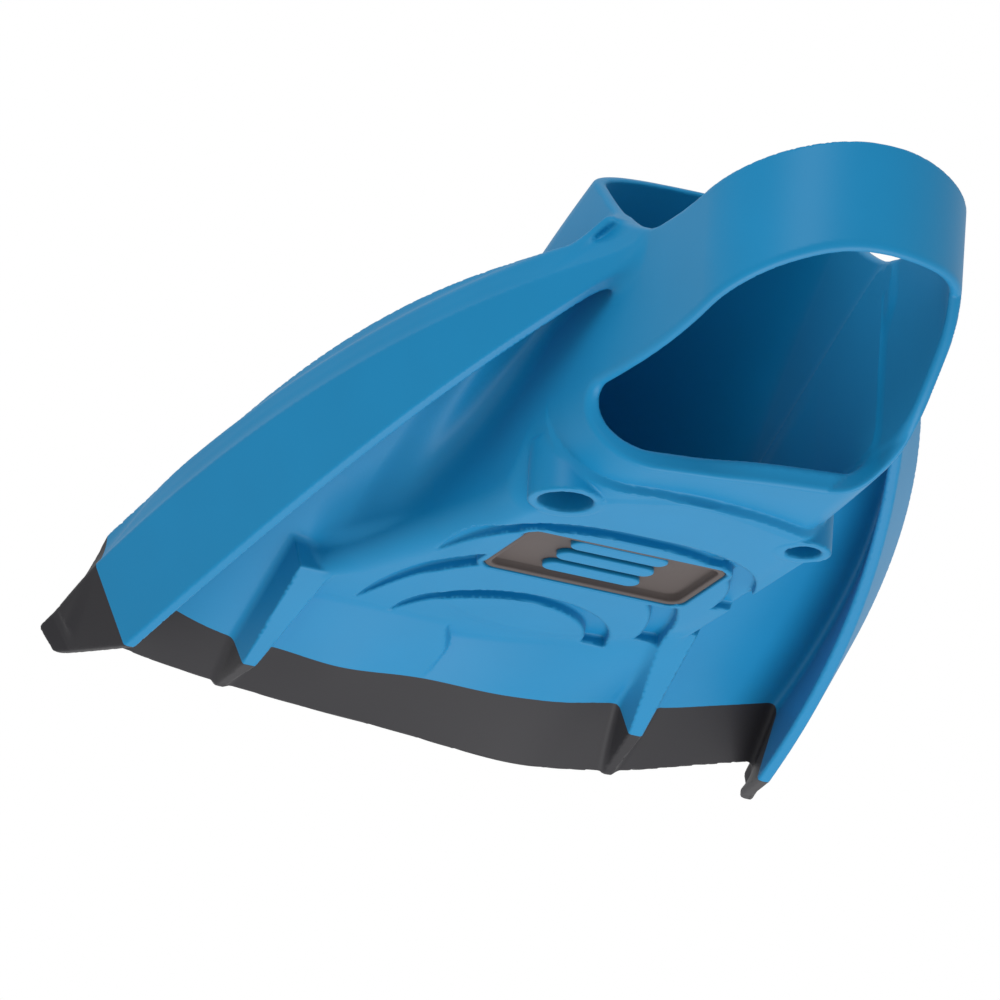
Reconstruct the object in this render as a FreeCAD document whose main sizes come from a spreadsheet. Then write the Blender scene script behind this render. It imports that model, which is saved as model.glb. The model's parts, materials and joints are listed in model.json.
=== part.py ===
import FreeCAD, Part
import math
import os
import Sketcher

# A short-bladed swim training fin for the right foot, in millimetres.
# The model is drawn with X to the wearer's right, Y along the fin towards the
# blade tip and Z up, from the toe crease where the blade starts to bend, on the
# underside of the sole. The blade droops below the sole. The parts are written
# from an origin further back along the sole, on the blade's centreline.

DIMENSIONS = (
    ("origin_back", 100.0),         # the written parts' origin, behind the toe crease
    # Foot pocket, a hollow last-shaped shell.
    ("pocket_shift", 6.0),          # pocket centreline to the right of the blade centreline
    ("pocket_base", 3.5),           # height of the pocket's underside, on top of the sole pad
    ("pocket_wall", 3.6),
    ("pocket_floor", 4.5),
    ("toe_reach", -9.0),            # foremost point of the toe end
    ("forefoot_half", 45.0),
    ("heel_half", 36.6),
    ("heel_back", -239.0),
    ("opening_front", -149.0),      # front edge of the opening under the heel
    ("instep_reach", -118.0),       # front of the ankle opening
    ("instep_height", 94.0),
    ("side_dip_reach", -178.0),     # lowest point of the ankle opening's side
    ("side_dip_height", 59.0),
    ("band_low", 38.0),             # heel band's lower edge at the back
    ("band_high", 71.0),
    ("lip_reach", -167.0),          # the lower rim between its front lip and the band
    ("lip_height", 12.5),
    ("low_rim_reach", -208.0),
    ("low_rim_height", 28.5),
    ("instep_rim_height", 91.5),    # the upper rim from the instep to the band
    ("rim_lead", 8.0),
    ("rim_lead_up", 3.0),
    ("quarter_reach", -150.0),
    ("quarter_height", 71.0),
    ("back_rim_reach", -216.0),
    ("back_rim_height", 66.0),
    # Heel strap fold line.
    ("fold_reach", -190.0),
    ("fold_height", 31.0),
    ("fold_gap", 0.8),
    ("fold_relief", 21.0),          # degrees cut away on each side below the fold line
    # Sole pad and its insert.
    ("pad_thick", 3.5),
    ("pad_left", 42.0),
    ("pad_right", 52.0),
    ("pad_rear", -128.0),
    ("pad_waist", -60.0),           # where the pad's sides start to close in
    ("pad_front_gap", 1.2),
    ("pad_ring_step", 8.0),         # corners of the pad's rear edge
    ("pad_curve_step", 2.0),
    ("pad_curve_in", 26.0),
    ("pad_left_in", 12.0),
    ("front_arc_across", -1.5),     # centre of the two front grooves
    ("front_arc_reach", -8.0),
    ("front_arc_radius", 31.0),
    ("middle_arc_radius", 48.0),
    ("rear_arc_across", 4.0),
    ("rear_arc_reach", -44.0),
    ("rear_arc_radius", 47.0),
    ("groove_width", 6.0),
    ("groove_depth", 2.2),
    ("insert_reach", -67.6),
    ("insert_long", 61.0),
    ("insert_wide", 34.0),
    ("insert_corner", 5.0),
    ("insert_thick", 3.3),
    ("insert_rim", 2.6),
    ("insert_recess", 2.2),
    ("insert_border", 2.0),
    ("fit_gap", 0.05),
    ("bar_long", 29.0),
    ("bar_wide", 7.0),
    ("bar_pitch", 10.5),
    ("bar_tall", 1.9),
    # Tether rings.
    ("ring_reach", -110.0),
    ("ring_tall", 9.0),
    ("ring_wall", 2.9),
    ("ring_left_across", -26.0),
    ("ring_left_bore", 7.65),
    ("ring_right_across", 46.0),
    ("ring_right_bore", 4.9),
    # Blade. The seam is where the dark tip starts.
    ("crease_gap", 0.4),
    ("seam_reach", 20.0),
    ("seam_gap", 0.3),
    ("seam_relief", 5.5),           # degrees cut away each side of the tip's bending line
    ("seam_flex_height", -4.7),
    ("edge_reach", 43.0),
    ("rail_end_reach", 50.0),
    ("panel_half", 45.0),
    ("panel_thick", 5.0),
    ("edge_thick", 2.6),
    ("droop", 0.36),                # fall of the underside per millimetre forward
    ("rib_across", 59.0),
    ("rib_half_base", 7.0),
    ("rib_half_crest", 1.6),
    ("rib_outer", 3.0),
    ("rib_depth", 5.0),
    ("flex_height", 2.5),           # height of the blade's bending line
    ("flex_relief", 8.5),           # degrees cut away each side of the bending line
    # Side rails, measured at the seam, with their run back to the root.
    ("rail_run", 196.0),
    ("chine_half", 108.0),
    ("chine_half_taper", -32.0),
    ("chine_half_bow", -30.0),
    ("chine_rise", 4.0),
    ("chine_rise_taper", 65.0),
    ("chine_rise_bow", -12.0),
    ("keel_half", 97.0),
    ("keel_half_taper", -36.0),
    ("keel_half_bow", -15.0),
    ("keel_rise", -17.5),
    ("keel_rise_taper", 59.0),
    ("keel_rise_bow", 8.0),
    ("keel_rise_root", 7.0),        # draws the keel up into the chine at the root
    ("keel_in", 2.4),
    ("keel_out", 1.6),
    ("shelf_up", 3.0),              # the web meets the rail above the chine
    ("wall_taper", 0.6),
    ("facet_in", 5.0),
    ("facet_up", 14.0),
    ("facet_least", 1.0),
    ("rail_wall", 7.0),
    ("web_thick", 4.5),
    ("web_drop", 6.5),
    ("web_inner", 0.05),
    ("root_in_left", -20.0),        # the left rail's root sits closer in, beside the shifted pocket
    ("root_in_right", -9.0),
    ("swell_left", 0.0),
    ("swell_right", 4.0),
    ("channel_across", 83.0),
    ("channel_rise", 7.0),
    ("crease_channel_rise", 4.2),
    ("rib_rise", 1.0),
    # Dark tip's front edge and rail ends.
    ("edge_chine_half", 109.2),
    ("edge_chine_rise", -3.6),
    ("edge_keel_half", 103.0),
    ("edge_keel_rise", -13.0),
    ("edge_channel_rise", 7.0),
    ("edge_rib_rise", 3.0),
    ("end_chine_half", 109.4),
    ("end_chine_rise", -6.0),
    ("end_keel_half", 105.7),
    ("end_keel_rise", -11.6),
    ("end_shelf_down", 3.5),
    ("end_keel_thick", 2.0),
    ("tip_rib_depth", -2.0),
    ("tip_rib_raised", 1.0),
)

doc = FreeCAD.newDocument("swim_fin")
sheet = doc.addObject("Spreadsheet::Sheet", "Sizes")
for row, (alias, number) in enumerate(DIMENSIONS, start=1):
    sheet.set(f"A{row}", alias)
    sheet.set(f"B{row}", str(number))
    sheet.setAlias(f"B{row}", alias)
doc.recompute()

FAR = 400.0         # reach of the cutting tools past everything they cut
OVERCUT = 1.0       # how far a cutter starts outside the face it cuts


def size(alias):
    """The number in the sheet's cell."""
    return float(sheet.get(alias))


# ---------------------------------------------------------------- helpers

def new_body(label):
    body = doc.addObject("PartDesign::Body", label)
    body.Label = label
    return body


def origin_plane(body, role):
    for feature in body.Origin.OriginFeatures:
        if feature.Role == role:
            return feature
    raise ValueError(role)


def new_sketch(body, name, role, offset):
    """A sketch on the body's own origin plane, moved along the plane's normal."""
    sketch = body.newObject("Sketcher::SketchObject", name)
    sketch.AttachmentSupport = (origin_plane(body, role), [""])
    sketch.MapMode = "FlatFace"
    sketch.setExpression("AttachmentOffset.Base.z", offset)
    return sketch


def pin_point(sketch, geometry, point, across, up):
    """Hold one point of the sketch at two bound distances from its origin."""
    for kind, expression in (("DistanceX", across), ("DistanceY", up)):
        index = sketch.addConstraint(Sketcher.Constraint(kind, -1, 1, geometry, point, 1.0))
        sketch.setExpression(f"Constraints[{index}]", expression)


def polygon(body, name, role, offset, corners):
    """A closed outline whose corners are pairs of bound coordinates."""
    sketch = new_sketch(body, name, role, offset)
    count = len(corners)
    start = [FreeCAD.Vector(math.cos(math.tau * i / count), math.sin(math.tau * i / count), 0)
             for i in range(count)]
    for i in range(count):
        sketch.addGeometry(Part.LineSegment(start[i], start[(i + 1) % count]), False)
    for i in range(count):
        sketch.addConstraint(Sketcher.Constraint("Coincident", i, 2, (i + 1) % count, 1))
    for i, (across, up) in enumerate(corners):
        pin_point(sketch, i, 1, across, up)
    return sketch


def loft(body, name, sketches):
    feature = body.newObject("PartDesign::AdditiveLoft", name)
    feature.Profile = sketches[0]
    feature.Sections = sketches[1:]
    feature.Ruled = False
    body.Tip = feature
    return feature


def pad(body, name, sketch, length):
    feature = body.newObject("PartDesign::Pad", name)
    feature.Profile = sketch
    feature.setExpression("Length", length)
    body.Tip = feature
    return feature


def pocket(body, name, sketch, length, reverse):
    feature = body.newObject("PartDesign::Pocket", name)
    feature.Profile = sketch
    feature.setExpression("Length", length)
    feature.Reversed = reverse
    body.Tip = feature
    return feature


def cut(label, base, tool):
    feature = doc.addObject("Part::Cut", label)
    feature.Label = label
    feature.Base = base
    feature.Tool = tool
    return feature


def cylinder(name, across, along, bottom, radius, height, angle="360"):
    feature = doc.addObject("Part::Cylinder", name)
    feature.setExpression("Radius", radius)
    feature.setExpression("Height", height)
    feature.setExpression("Angle", angle)
    feature.setExpression("Placement.Base.x", across)
    feature.setExpression("Placement.Base.y", along)
    feature.setExpression("Placement.Base.z", bottom)
    return feature


def solid_feature(label, shape):
    feature = doc.addObject("Part::Feature", label)
    feature.Label = label
    feature.Shape = shape
    feature.Placement = FreeCAD.Placement()
    return feature


# ------------------------------------------------------- the foot pocket

# Levels of the last: share of the instep height, how far the toe end has moved
# back towards the instep, and how much the forefoot has narrowed.
LAST_LEVELS = (
    (0.00, -0.05, 0.91),
    (0.09, 0.00, 1.00),
    (0.38, 0.12, 1.00),
    (0.66, 0.42, 0.92),
    (0.92, 0.80, 0.80),
    (1.10, 1.04, 0.74),
)
ARC_STEPS = 4       # points per quarter turn of an outline


def last_outline(level, inset, height):
    """A closed foot-shaped curve at one height: a round toe end, tapering sides and a round heel."""
    _, set_back, narrowing = level
    toe = size("toe_reach") + set_back * (size("instep_reach") - size("toe_reach"))
    forefoot = size("forefoot_half") * narrowing - inset
    heel = size("heel_half") - inset
    front_centre = toe - size("forefoot_half") * narrowing
    heel_centre = size("heel_back") + size("heel_half")
    points = []
    for step in range(ARC_STEPS * 2 + 1):
        turn = math.pi * step / (ARC_STEPS * 2)
        points.append((forefoot * math.cos(turn),
                       front_centre + (toe - inset - front_centre) * math.sin(turn) ** 0.8))
    for step in range(ARC_STEPS * 2 + 1):
        turn = math.pi + math.pi * step / (ARC_STEPS * 2)
        points.append((heel * math.cos(turn), heel_centre + heel * math.sin(turn)))
    points = points[ARC_STEPS:] + points[:ARC_STEPS]    # the curve's join sits at the toe
    curve = Part.BSplineCurve()
    corners = [FreeCAD.Vector(x + size("pocket_shift"), y, height) for x, y in points]
    curve.interpolate(Points=corners, PeriodicFlag=True)
    return Part.Wire([curve.toShape()])


def last_solid(inset, floor):
    """The solid last, set in from its outside by the wall's thickness and raised by the floor's."""
    base = size("pocket_base")
    rise = size("instep_height")
    wires = []
    for level in LAST_LEVELS:
        height = base + level[0] * rise
        if height - base < floor:
            height = base + floor
        wires.append(last_outline(level, inset, height))
    return Part.makeLoft(wires, True, False)


def side_view(points, smooth):
    """An edge in the fin's side view, through the given places along and up."""
    corners = [FreeCAD.Vector(-FAR, y, z) for y, z in points]
    if not smooth:
        return Part.makePolygon(corners).Edges
    curve = Part.BSplineCurve()
    curve.interpolate(corners)
    return [curve.toShape()]


def rim_prism():
    """Everything between the pocket's lower and upper rims, as a block through the fin."""
    below = size("pocket_base") - OVERCUT / 2
    low_front = (size("opening_front"), below)
    low_back = (-FAR, size("band_low") + OVERCUT)
    high_back = (-FAR, size("band_high") + OVERCUT)
    high_front = (size("instep_reach") + size("rim_lead"), size("instep_height") + size("rim_lead_up"))
    lower = side_view((low_back, (size("heel_back"), size("band_low")),
                       (size("low_rim_reach"), size("low_rim_height")),
                       (size("lip_reach"), size("lip_height")), low_front), True)
    upper = side_view((high_front, (size("instep_reach"), size("instep_rim_height")),
                       (size("quarter_reach"), size("quarter_height")),
                       (size("side_dip_reach"), size("side_dip_height")),
                       (size("back_rim_reach"), size("back_rim_height")),
                       (size("heel_back"), size("band_high")), high_back), True)
    front = side_view((low_front, (FAR, below), (FAR, FAR), (high_front[0], FAR), high_front), False)
    rear = side_view((high_back, low_back), False)
    wire = Part.Wire(Part.__sortEdges__(lower + upper + front + rear))
    return Part.Face(wire).extrude(FreeCAD.Vector(2 * FAR, 0, 0))


def wedge(place, height, gap, relief_up, relief_down):
    """A slot through the fin across Y, flaring above and below the hinge line at its middle."""
    up = FAR * math.tan(math.radians(relief_up))
    down = FAR * math.tan(math.radians(relief_down))
    outline = ((place - gap, height), (place - gap - up, height + FAR), (place + gap + up, height + FAR),
               (place + gap, height), (place + gap + down, height - FAR),
               (place - gap - down, height - FAR), (place - gap, height))
    face = Part.Face(Part.makePolygon([FreeCAD.Vector(-FAR, y, z) for y, z in outline]))
    return face.extrude(FreeCAD.Vector(2 * FAR, 0, 0))


def half_space(place, forward):
    """A block that fills everything in front of, or behind, a place along the fin."""
    low = place if forward else place - FAR
    return Part.makeBox(2 * FAR, FAR, 2 * FAR, FreeCAD.Vector(-FAR, low, -FAR))


last_outer = last_solid(0.0, 0.0)
last_inner = last_solid(size("pocket_wall"), size("pocket_floor"))
shell = last_outer.cut(last_inner).common(rim_prism())

fold_slot = wedge(size("fold_reach"), size("fold_height"), size("fold_gap") / 2, 0.0, size("fold_relief"))
crease_slot = wedge(0.0, size("flex_height"), size("crease_gap") / 2,
                    size("flex_relief"), size("flex_relief"))
seam_slot = wedge(size("seam_reach"), size("seam_flex_height"), size("seam_gap") / 2,
                  size("seam_relief"), size("seam_relief"))


def ring_plug(across, bore):
    """The space a tether ring fills, with the fit gap round it."""
    radius = bore + size("ring_wall") + size("fit_gap")
    return Part.makeCylinder(radius, FAR, FreeCAD.Vector(across, size("ring_reach"), -OVERCUT))


ring_space = ring_plug(size("ring_left_across"), size("ring_left_bore")).fuse(
    ring_plug(size("ring_right_across"), size("ring_right_bore")))
open_floor = Part.makeBox(2 * FAR, FAR, size("ring_tall") + OVERCUT + size("fit_gap"),
                          FreeCAD.Vector(-FAR, size("ring_reach") - FAR / 2, -OVERCUT))
ring_space = ring_space.common(open_floor)

foot_pocket = solid_feature("foot_pocket", shell.cut(fold_slot).common(
    half_space(size("fold_reach"), True)).cut(ring_space))
heel_strap = solid_feature("heel_strap", shell.cut(fold_slot).common(
    half_space(size("fold_reach"), False)))


# ---------------------------------------------------------- tether rings

def tether_ring(label, across, bore):
    outer = cylinder(label + "_outer", f"Sizes.{across}", "Sizes.ring_reach", "0",
                     f"Sizes.{bore} + Sizes.ring_wall", "Sizes.ring_tall")
    inner = cylinder(label + "_bore", f"Sizes.{across}", "Sizes.ring_reach", f"-{OVERCUT}",
                     f"Sizes.{bore}", f"Sizes.ring_tall + 2*{OVERCUT}")
    return cut(label, outer, inner)


tether_ring("tether_ring_left", "ring_left_across", "ring_left_bore")
tether_ring("tether_ring_right", "ring_right_across", "ring_right_bore")


# ---------------------------------------------- sole pad and its insert

def rounded_rectangle(body, name, offset, across, along, half_long, half_wide, corner):
    """A rectangle with round corners, from four bound lines and four bound arcs."""
    sketch = new_sketch(body, name, "XY_Plane", offset)
    x_low, x_high = f"{across} - ({half_long})", f"{across} + ({half_long})"
    y_low, y_high = f"{along} - ({half_wide})", f"{along} + ({half_wide})"
    # Each corner: its arc's centre, then the arc's first and last points.
    corners = (
        ((x_high, f"-({corner})"), (y_low, f"+({corner})"), -90),
        ((x_high, f"-({corner})"), (y_high, f"-({corner})"), 0),
        ((x_low, f"+({corner})"), (y_high, f"-({corner})"), 90),
        ((x_low, f"+({corner})"), (y_low, f"+({corner})"), 180),
    )
    near = 10.0
    for index, (_, _, turn) in enumerate(corners):
        middle = FreeCAD.Vector(near if index < 2 else -near, near if index in (1, 2) else -near, 0)
        circle = Part.Circle(middle, FreeCAD.Vector(0, 0, 1), 2.0)
        sketch.addGeometry(Part.ArcOfCircle(circle, math.radians(turn), math.radians(turn + 90)), False)
    for index in range(4):
        first = sketch.Geometry[index].EndPoint
        last = sketch.Geometry[(index + 1) % 4].StartPoint
        line = sketch.addGeometry(Part.LineSegment(first, last), False)
        sketch.addConstraint(Sketcher.Constraint("Tangent", index, 2, line, 1))
        sketch.addConstraint(Sketcher.Constraint("Tangent", line, 2, (index + 1) % 4, 1))
    for index, ((edge_x, inset_x), (edge_y, inset_y), _) in enumerate(corners):
        pin_point(sketch, index, 3, edge_x + inset_x, edge_y + inset_y)
    radius = sketch.addConstraint(Sketcher.Constraint("Radius", 0, 2.0))
    sketch.setExpression(f"Constraints[{radius}]", corner)
    for index in range(1, 4):
        sketch.addConstraint(Sketcher.Constraint("Equal", 0, index))
    return sketch


def insert_outline(body, name, offset, grow):
    """The insert's outline, grown outwards on every side."""
    return rounded_rectangle(body, name, offset, "Sizes.pocket_shift", "Sizes.insert_reach",
                             f"Sizes.insert_long/2 + {grow}", f"Sizes.insert_wide/2 + {grow}",
                             f"Sizes.insert_corner + {grow}")


def arc_groove(name, across, along, radius, start, sweep):
    """A cutter for one curved groove in the underside of the pad."""
    outer = cylinder(name + "_outer", across, along, f"-{OVERCUT}", f"{radius} + Sizes.groove_width/2",
                     f"Sizes.groove_depth + {OVERCUT}", f"{sweep}")
    inner = cylinder(name + "_inner", across, along, f"-2*{OVERCUT}", f"{radius} - Sizes.groove_width/2",
                     f"Sizes.groove_depth + 3*{OVERCUT}")
    outer.Placement.Rotation = FreeCAD.Rotation(FreeCAD.Vector(0, 0, 1), start)
    return cut(name, outer, inner)


def sole_pad():
    plate = new_body("pad_plate")
    # Outline in plan from the toe crease round the right side, behind the rings and back.
    left, right = "-Sizes.pad_left", "Sizes.pad_right"
    front, waist, rear = "-Sizes.pad_front_gap", "Sizes.pad_waist", "Sizes.pad_rear"
    ring_rear, curve_rear = f"{rear} + Sizes.pad_ring_step", f"{rear} + Sizes.pad_curve_step"
    corners = ((right, front), (right, waist), (f"{right} - Sizes.pad_ring_step", ring_rear),
               (f"{right} - Sizes.pad_curve_in", curve_rear), ("Sizes.pocket_shift", rear),
               (f"{left} + Sizes.pad_curve_in", curve_rear), (f"{left} + Sizes.pad_left_in", ring_rear),
               (left, waist), (left, front))
    pad(plate, "plate", polygon(plate, "plate_outline", "XY_Plane", "0", corners),
        "Sizes.pad_thick - Sizes.fit_gap")
    grooves = doc.addObject("Part::MultiFuse", "grooves")
    front_centre = ("Sizes.front_arc_across", "Sizes.front_arc_reach")
    rear_centre = ("Sizes.rear_arc_across", "Sizes.rear_arc_reach")
    grooves.Shapes = [
        arc_groove("front_groove", *front_centre, "Sizes.front_arc_radius", 180, 180),
        arc_groove("middle_groove", *front_centre, "Sizes.middle_arc_radius", 180, 180),
        arc_groove("rear_groove", *rear_centre, "Sizes.rear_arc_radius", 197, 146),
    ]
    border = new_body("insert_border_ring")
    pad(border, "border", insert_outline(border, "border_outline", f"-2*{OVERCUT}", "Sizes.insert_border"),
        f"Sizes.pad_thick + 2*{OVERCUT}")
    grooved = cut("grooved_plate", plate, cut("groove_cutters", grooves, border))
    recess = new_body("insert_recess")
    pad(recess, "recess", insert_outline(recess, "recess_outline", f"-{OVERCUT}", "Sizes.fit_gap"),
        f"Sizes.insert_thick + Sizes.fit_gap + {OVERCUT}")
    rings = solid_feature("ring_space", ring_space)
    return cut("sole_pad", cut("pad_with_recess", grooved, recess), rings)


def sole_insert():
    tray = new_body("sole_insert")
    pad(tray, "tray", insert_outline(tray, "tray_outline", "0", "0"), "Sizes.insert_thick")
    floor = insert_outline(tray, "tray_floor", "0", "-Sizes.insert_rim")
    pocket(tray, "tray_recess", floor, "Sizes.insert_recess", True)
    return tray


def grip_bars():
    """Three round-ended bars that stand down from the tray's floor."""
    bars = new_body("grip_bars")
    outline = rounded_rectangle(
        bars, "bar_outline", "Sizes.insert_recess - Sizes.bar_tall - Sizes.fit_gap", "Sizes.pocket_shift",
        "Sizes.insert_reach - Sizes.bar_pitch",
        "Sizes.bar_long/2", "Sizes.bar_wide/2", "Sizes.bar_wide/2 - Sizes.fit_gap")
    bar = pad(bars, "bar", outline, "Sizes.bar_tall")
    doc.recompute()
    pattern = bars.newObject("PartDesign::LinearPattern", "bar_row")
    pattern.Originals = [bar]
    pattern.Direction = (outline, ["V_Axis"])
    pattern.setExpression("Length", "Sizes.bar_pitch * 2")
    pattern.Occurrences = 3
    bars.Tip = pattern
    return bars


sole_pad()
sole_insert()
grip_bars()


# ------------------------------------------------------ rails and blade

RAIL_STATIONS = ("-168", "-130", "-80", "-35", "-Sizes.crease_gap/2")


def share(reach):
    """How far back along the rail a place is: 0 at the seam, 1 at the root."""
    return f"((Sizes.seam_reach - ({reach})) / Sizes.rail_run)"


def curve_at(quantity, reach):
    """A rail quantity, its value at the seam with a linear taper and a bow towards the root."""
    part = share(reach)
    return f"(Sizes.{quantity} + Sizes.{quantity}_taper*{part} + Sizes.{quantity}_bow*{part}*{part})"


def bulge(reach):
    """The leaf facet's growth, none at the seam and the root and full half way."""
    return f"(4*{share(reach)}*(1 - {share(reach)}))"


def rail_corners(reach, hand="left"):
    """The rail's section at a place along the fin: corners from the web's underside round to its top."""
    outward = f"(Sizes.root_in_{hand}*{share(reach)}^4 + Sizes.swell_{hand}*{bulge(reach)})"
    chine_x = f"({curve_at('chine_half', reach)} + {outward})"
    keel_x = f"({curve_at('keel_half', reach)} + {outward})"
    chine_z = curve_at("chine_rise", reach)
    keel_z = f"({curve_at('keel_rise', reach)} + Sizes.keel_rise_root*{share(reach)}^4)"
    taper = f"(1 - Sizes.wall_taper*{share(reach)})"
    shelf_z = f"{chine_z} + Sizes.shelf_up*{taper}"
    crest_x = f"{chine_x} - Sizes.facet_least - Sizes.facet_in*{bulge(reach)}"
    crest_z = f"{chine_z} + Sizes.facet_least + Sizes.facet_up*{bulge(reach)}"
    return (
        (f"{chine_x} - Sizes.rail_wall*{taper}", shelf_z),
        (f"{keel_x} - Sizes.keel_in", keel_z),
        (f"{keel_x} + Sizes.keel_out", keel_z),
        (chine_x, chine_z),
        (crest_x, crest_z),
        (f"{crest_x} - Sizes.rail_wall*{taper}", f"{shelf_z} + Sizes.web_thick"),
    )


def rail(label, side, hand):
    """One side rail with the web that joins it to the pocket, from the root to the toe crease."""
    body = new_body(label + "_whole")
    sections = []
    for index, reach in enumerate(RAIL_STATIONS):
        web_z = f"{curve_at('chine_rise', reach)} - Sizes.web_drop*(1 - {share(reach)})"
        corners = [("Sizes.web_inner", web_z)]
        corners += rail_corners(reach, hand)
        corners += [("Sizes.web_inner", f"{web_z} + Sizes.web_thick")]
        corners = [(f"{side}*({across})", up) for across, up in corners]
        sections.append(polygon(body, f"{label}_section_{index}", "XZ_Plane", f"-({reach})", corners))
    loft(body, label + "_loft", sections)
    return body


def blade_section(body, name, reach, rail_side, rib_rise, channel_rise, thickness):
    """The whole gull-wing section of the blade: flat in the middle, rising to the rails."""
    under = f"-Sizes.droop*({reach})"
    half = [("Sizes.panel_half", under),
            ("Sizes.rib_across + Sizes.rib_outer", f"{under} + {rib_rise}"),
            ("Sizes.channel_across", f"{under} + {channel_rise}")]
    half += rail_side
    half += [("Sizes.channel_across", f"{under} + {channel_rise} + {thickness}"),
             ("Sizes.panel_half", f"{under} + {thickness}")]
    corners = half + [(f"-({across})", up) for across, up in reversed(half)]
    return polygon(body, name, "XZ_Plane", f"-({reach})", corners)


def edge_corners(station):
    """The rail's section in the dark tip, at the blade's edge or at the rail's end."""
    chine_x, chine_z = f"Sizes.{station}_chine_half", f"Sizes.{station}_chine_rise"
    keel_x, keel_z = f"Sizes.{station}_keel_half", f"Sizes.{station}_keel_rise"
    return (
        (f"{chine_x} - Sizes.rail_wall", f"{chine_z} - Sizes.end_shelf_down"),
        (f"{keel_x} - Sizes.end_keel_thick", keel_z),
        (keel_x, keel_z),
        (chine_x, chine_z),
        (f"{chine_x} - Sizes.facet_least", f"{chine_z} + Sizes.facet_least"),
        (f"{chine_x} - Sizes.rail_wall - Sizes.facet_least", f"{chine_z} + Sizes.facet_least"),
    )


def rib(body, label, side, stations):
    """A ridge under the blade: a wedge-shaped section between places along the fin."""
    sections = []
    for index, (reach, depth, raised) in enumerate(stations):
        under = f"-Sizes.droop*({reach})"
        top = f"{under} + {raised}"
        corners = (("Sizes.rib_across - Sizes.rib_half_base", top),
                   ("Sizes.rib_across - Sizes.rib_half_crest", f"{under} - {depth}"),
                   ("Sizes.rib_across + Sizes.rib_half_crest", f"{under} - {depth}"),
                   ("Sizes.rib_across + Sizes.rib_outer", top))
        corners = [(f"{side}*({across})", up) for across, up in corners]
        sections.append(polygon(body, f"{label}_section_{index}", "XZ_Plane", f"-({reach})", corners))
    loft(body, label + "_loft", sections)
    return body


pad_block = solid_feature("pad_block", Part.makeBox(
    size("pad_left") + size("pad_right") + 2 * size("fit_gap"), -size("pad_rear"), FAR + size("pad_thick"),
    FreeCAD.Vector(-size("pad_left") - size("fit_gap"), size("pad_rear"), -FAR)))
pocket_block = solid_feature("pocket_block", last_solid(-size("fit_gap"), 0.0))
crease_cutter = solid_feature("crease_cutter", crease_slot)
seam_cutter = solid_feature("seam_cutter", seam_slot)
for hand, side in (("left", "-1"), ("right", "1")):
    label = f"rail_{hand}"
    beside_pad = cut(label + "_beside_pad", rail(label, side, hand), pad_block)
    beside_pocket = cut(label + "_beside_pocket", beside_pad, pocket_block)
    cut(label, beside_pocket, crease_cutter)

panel_body = new_body("blade_panel_whole")
crease_front = "(Sizes.crease_gap/2)"
seam_back = "(Sizes.seam_reach - Sizes.seam_gap/2)"
loft(panel_body, "panel_loft", [
    blade_section(panel_body, "crease_section", crease_front, rail_corners(crease_front), "Sizes.rib_rise",
                  "Sizes.crease_channel_rise", "Sizes.panel_thick"),
    blade_section(panel_body, "seam_section", seam_back, rail_corners(seam_back), "Sizes.rib_rise",
                  "Sizes.channel_rise", "Sizes.panel_thick"),
])
cut("blade_panel", cut("panel_behind_seam", panel_body, seam_cutter), crease_cutter)

for label, side in (("blade_rib_left", "-1"), ("blade_rib_right", "1")):
    whole = rib(new_body(label + "_whole"), label, side,
                ((crease_front, "Sizes.rib_depth", "-Sizes.fit_gap"),
                 (seam_back, "Sizes.rib_depth", "-Sizes.fit_gap")))
    cut(label, cut(label + "_behind_seam", whole, seam_cutter), crease_cutter)

tip_body = new_body("blade_tip_whole")
seam_front = "(Sizes.seam_reach + Sizes.seam_gap/2)"
loft(tip_body, "tip_loft", [
    blade_section(tip_body, "tip_seam_section", seam_front, rail_corners(seam_front), "Sizes.rib_rise",
                  "Sizes.channel_rise", "Sizes.panel_thick"),
    blade_section(tip_body, "tip_edge_section", "Sizes.edge_reach", edge_corners("edge"),
                  "Sizes.edge_rib_rise", "Sizes.edge_channel_rise", "Sizes.edge_thick"),
])
for label, side in (("tip_rib_left", "-1"), ("tip_rib_right", "1")):
    rib(tip_body, label, side, ((seam_front, "Sizes.rib_depth", "Sizes.tip_rib_raised"),
                                ("Sizes.edge_reach", "Sizes.tip_rib_depth", "Sizes.edge_rib_rise")))
for label, side in (("rail_end_left", "-1"), ("rail_end_right", "1")):
    ends = []
    for station, reach in (("edge", "Sizes.edge_reach"), ("end", "Sizes.rail_end_reach")):
        outline = [(f"{side}*({across})", up) for across, up in edge_corners(station)]
        ends.append(polygon(tip_body, f"{label}_{station}", "XZ_Plane", f"-({reach})", outline))
    loft(tip_body, label, ends)
cut("blade_tip", tip_body, seam_cutter)

doc.recompute()

# ------------------------------------------------------- check and write

NODES = ("foot_pocket", "heel_strap", "sole_pad", "sole_insert", "grip_bars", "tether_ring_left",
         "tether_ring_right", "rail_left", "rail_right", "blade_panel", "blade_rib_left",
         "blade_rib_right", "blade_tip")

for item in doc.Objects:
    if "Invalid" in item.State or "Error" in item.State:
        raise RuntimeError(f"{item.Label} failed: {item.State}")

os.makedirs("parts", exist_ok=True)
for label in NODES:
    found = doc.getObjectsByLabel(label)
    if len(found) != 1:
        raise RuntimeError(f"{label}: {len(found)} objects")
    shape = found[0].Shape
    if shape.isNull() or not shape.isValid():
        raise RuntimeError(f"{label}: bad shape")
    shape = shape.translated(FreeCAD.Vector(0, size("origin_back"), 0))
    shape.exportStep(f"parts/{label}.step")
    print(label, len(shape.Solids), round(shape.Volume), shape.BoundBox)
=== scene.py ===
import json
import math

import bmesh
import bpy
import numpy as np
from mathutils import Matrix, Vector


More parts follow.
